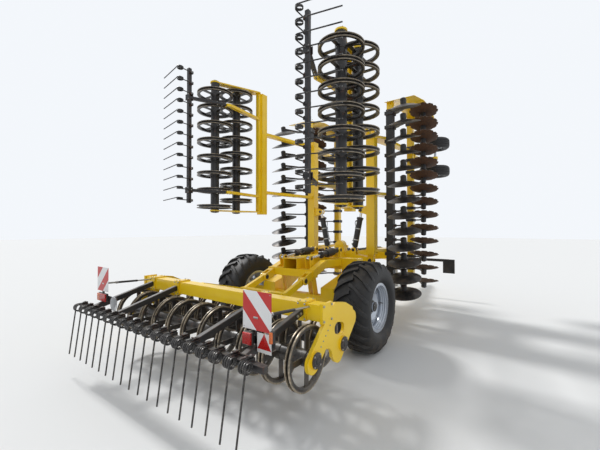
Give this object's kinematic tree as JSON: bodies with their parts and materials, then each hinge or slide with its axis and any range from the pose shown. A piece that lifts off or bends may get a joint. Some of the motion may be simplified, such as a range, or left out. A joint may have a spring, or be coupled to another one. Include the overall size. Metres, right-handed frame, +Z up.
{
  "type": "folding trailed disc harrow",
  "caption": "Trailed compact disc harrow with folding wings, notched and plain disc rows, double ring rollers, tine harrows, road wheels and a drawbar jack, parked folded.",
  "frame": {"origin": "on the ground under the middle of the machine's length, on the centre plane", "axes": "+X right, +Y forwards to the tow eye, +Z up"},
  "size_m": [3.003, 8.3378, 3.984],
  "materials": {
    "yellow_paint": "weathered gloss",
    "bare_steel": "worn bright",
    "black_paint": "satin, worn",
    "rim_silver": "satin",
    "tyre": "dusty",
    "chrome": "polished",
    "spring_steel": "worn satin",
    "board_white": "reflective sheet",
    "lamp_red": "clear gloss",
    "reflector": "prismatic",
    "disc_steel": "worn, dusty",
    "rusty_steel": "rusty"
  },
  "bodies": {
    "chassis": {"chassis_frame": "yellow_paint", "drawbar": "yellow_paint", "tow_eye": "bare_steel", "jack_sleeve": "black_paint", "front_markers": "yellow_paint"},
    "jack": {"jack_leg": "bare_steel"},
    "axle": {"axle": "yellow_paint"},
    "lift_barrels": {"lift_barrels": "black_paint"},
    "lift_rods": {"lift_rods": "chrome"},
    "carrier": {"rear_carrier": "yellow_paint", "centre_harrow": "spring_steel", "warning_boards": "board_white", "tail_lamps": "lamp_red", "reflectors": "reflector"},
    "centre_roller_front": {"centre_roller_front": "black_paint"},
    "centre_roller_rear": {"centre_roller_rear": "black_paint"},
    "wheel_left": {"rim_left": "rim_silver", "tyre_left": "tyre"},
    "wing_left": {"wing_frame_left": "yellow_paint", "rear_disc_arms_left": "black_paint", "front_disc_arms_left": "black_paint", "rear_discs_left": "disc_steel", "front_discs_left": "rusty_steel", "roller_carrier_left": "yellow_paint", "wing_harrow_left": "spring_steel", "end_deflector_left": "yellow_paint", "support_arm_left": "yellow_paint"},
    "wing_roller_front_left": {"wing_roller_front_left": "black_paint"},
    "wing_roller_rear_left": {"wing_roller_rear_left": "black_paint"},
    "support_wheels_left": {"support_rims_left": "rim_silver", "support_tyres_left": "tyre"},
    "fold_barrel_left": {"fold_barrel_left": "black_paint"},
    "fold_rod_left": {"fold_rod_left": "chrome"},
    "wheel_right": {"rim_right": "rim_silver", "tyre_right": "tyre"},
    "wing_right": {"wing_frame_right": "yellow_paint", "rear_disc_arms_right": "black_paint", "front_disc_arms_right": "black_paint", "rear_discs_right": "disc_steel", "front_discs_right": "rusty_steel", "roller_carrier_right": "yellow_paint", "wing_harrow_right": "spring_steel", "end_deflector_right": "yellow_paint", "support_arm_right": "yellow_paint"},
    "wing_roller_front_right": {"wing_roller_front_right": "black_paint"},
    "wing_roller_rear_right": {"wing_roller_rear_right": "black_paint"},
    "support_wheels_right": {"support_rims_right": "rim_silver", "support_tyres_right": "tyre"},
    "fold_barrel_right": {"fold_barrel_right": "black_paint"},
    "fold_rod_right": {"fold_rod_right": "chrome"}
  },
  "joints": [
    {"name": "jack_slide", "type": "slide", "parent": "chassis", "child": "jack", "axis": [0, 0, 1], "range_m": [0, 0.35]},
    {"name": "axle_swing", "type": "hinge", "parent": "chassis", "child": "axle", "pos_m": [0, -0.932, 0.88], "axis": [-1, 0, 0], "range_deg": [0, 22]},
    {"name": "lift_barrel_swing", "type": "hinge", "parent": "chassis", "child": "lift_barrels", "pos_m": [0, -0.822, 1.26], "axis": [-1, 0, 0], "range_deg": [0, 20.09]},
    {"name": "lift_rod_slide", "type": "slide", "parent": "lift_barrels", "child": "lift_rods", "axis": [0, 0.9959, 0.0905], "range_m": [0, 0.15]},
    {"name": "carrier_lift", "type": "hinge", "parent": "chassis", "child": "carrier", "pos_m": [0, -2.012, 0.905], "axis": [-1, 0, 0], "range_deg": [-4, 8]},
    {"name": "centre_roller_front_spin", "type": "hinge", "parent": "carrier", "child": "centre_roller_front", "pos_m": [0, -2.912, 0.55], "axis": [1, 0, 0], "continuous": true},
    {"name": "centre_roller_rear_spin", "type": "hinge", "parent": "carrier", "child": "centre_roller_rear", "pos_m": [0, -3.382, 0.55], "axis": [1, 0, 0], "continuous": true},
    {"name": "wheel_left_spin", "type": "hinge", "parent": "axle", "child": "wheel_left", "pos_m": [-1.08, -1.582, 0.59], "axis": [1, 0, 0], "continuous": true},
    {"name": "wing_left_fold", "type": "hinge", "parent": "chassis", "child": "wing_left", "pos_m": [-0.6, -1.582, 1.06], "axis": [0, -1, 0], "range_deg": [0, 90]},
    {"name": "wing_roller_front_left_spin", "type": "hinge", "parent": "wing_left", "child": "wing_roller_front_left", "pos_m": [-1.11, -1.882, 2.9], "axis": [0, 0, 1], "continuous": true},
    {"name": "wing_roller_rear_left_spin", "type": "hinge", "parent": "wing_left", "child": "wing_roller_rear_left", "pos_m": [-1.11, -2.327, 2.9], "axis": [0, 0, 1], "continuous": true},
    {"name": "support_wheels_left_spin", "type": "hinge", "parent": "wing_left", "child": "support_wheels_left", "pos_m": [-1.21, 1.838, 3.175], "axis": [0, 0, 1], "continuous": true},
    {"name": "fold_barrel_left_swing", "type": "hinge", "parent": "chassis", "child": "fold_barrel_left", "pos_m": [-0.28, -0.282, 1.235], "axis": [0, -1, 0], "range_deg": [0, 79.04]},
    {"name": "fold_rod_left_slide", "type": "slide", "parent": "fold_barrel_left", "child": "fold_rod_left", "axis": [-0.1988, 0, 0.9801], "range_m": [0, 0.4844]},
    {"name": "wheel_right_spin", "type": "hinge", "parent": "axle", "child": "wheel_right", "pos_m": [1.08, -1.582, 0.59], "axis": [1, 0, 0], "continuous": true},
    {"name": "wing_right_fold", "type": "hinge", "parent": "chassis", "child": "wing_right", "pos_m": [0.6, -1.582, 1.06], "axis": [0, 1, 0], "range_deg": [0, 90]},
    {"name": "wing_roller_front_right_spin", "type": "hinge", "parent": "wing_right", "child": "wing_roller_front_right", "pos_m": [1.11, -1.882, 2.9], "axis": [0, 0, 1], "continuous": true},
    {"name": "wing_roller_rear_right_spin", "type": "hinge", "parent": "wing_right", "child": "wing_roller_rear_right", "pos_m": [1.11, -2.327, 2.9], "axis": [0, 0, 1], "continuous": true},
    {"name": "support_wheels_right_spin", "type": "hinge", "parent": "wing_right", "child": "support_wheels_right", "pos_m": [1.21, 1.838, 3.175], "axis": [0, 0, 1], "continuous": true},
    {"name": "fold_barrel_right_swing", "type": "hinge", "parent": "chassis", "child": "fold_barrel_right", "pos_m": [0.28, -0.282, 1.235], "axis": [0, 1, 0], "range_deg": [0, 79.04]},
    {"name": "fold_rod_right_slide", "type": "slide", "parent": "fold_barrel_right", "child": "fold_rod_right", "axis": [0.1988, 0, 0.9801], "range_m": [0, 0.4844]}
  ],
  "couplings": [
    {"joint": "lift_barrel_swing", "follows": "axle_swing", "ratio": 0.90405},
    {"joint": "lift_rod_slide", "follows": "axle_swing", "m_per_rad": 0.38549},
    {"joint": "fold_barrel_left_swing", "follows": "wing_left_fold", "ratio": 0.87262},
    {"joint": "fold_rod_left_slide", "follows": "wing_left_fold", "m_per_rad": 0.30586},
    {"joint": "fold_barrel_right_swing", "follows": "wing_right_fold", "ratio": 0.87262},
    {"joint": "fold_rod_right_slide", "follows": "wing_right_fold", "m_per_rad": 0.30586}
  ]
}
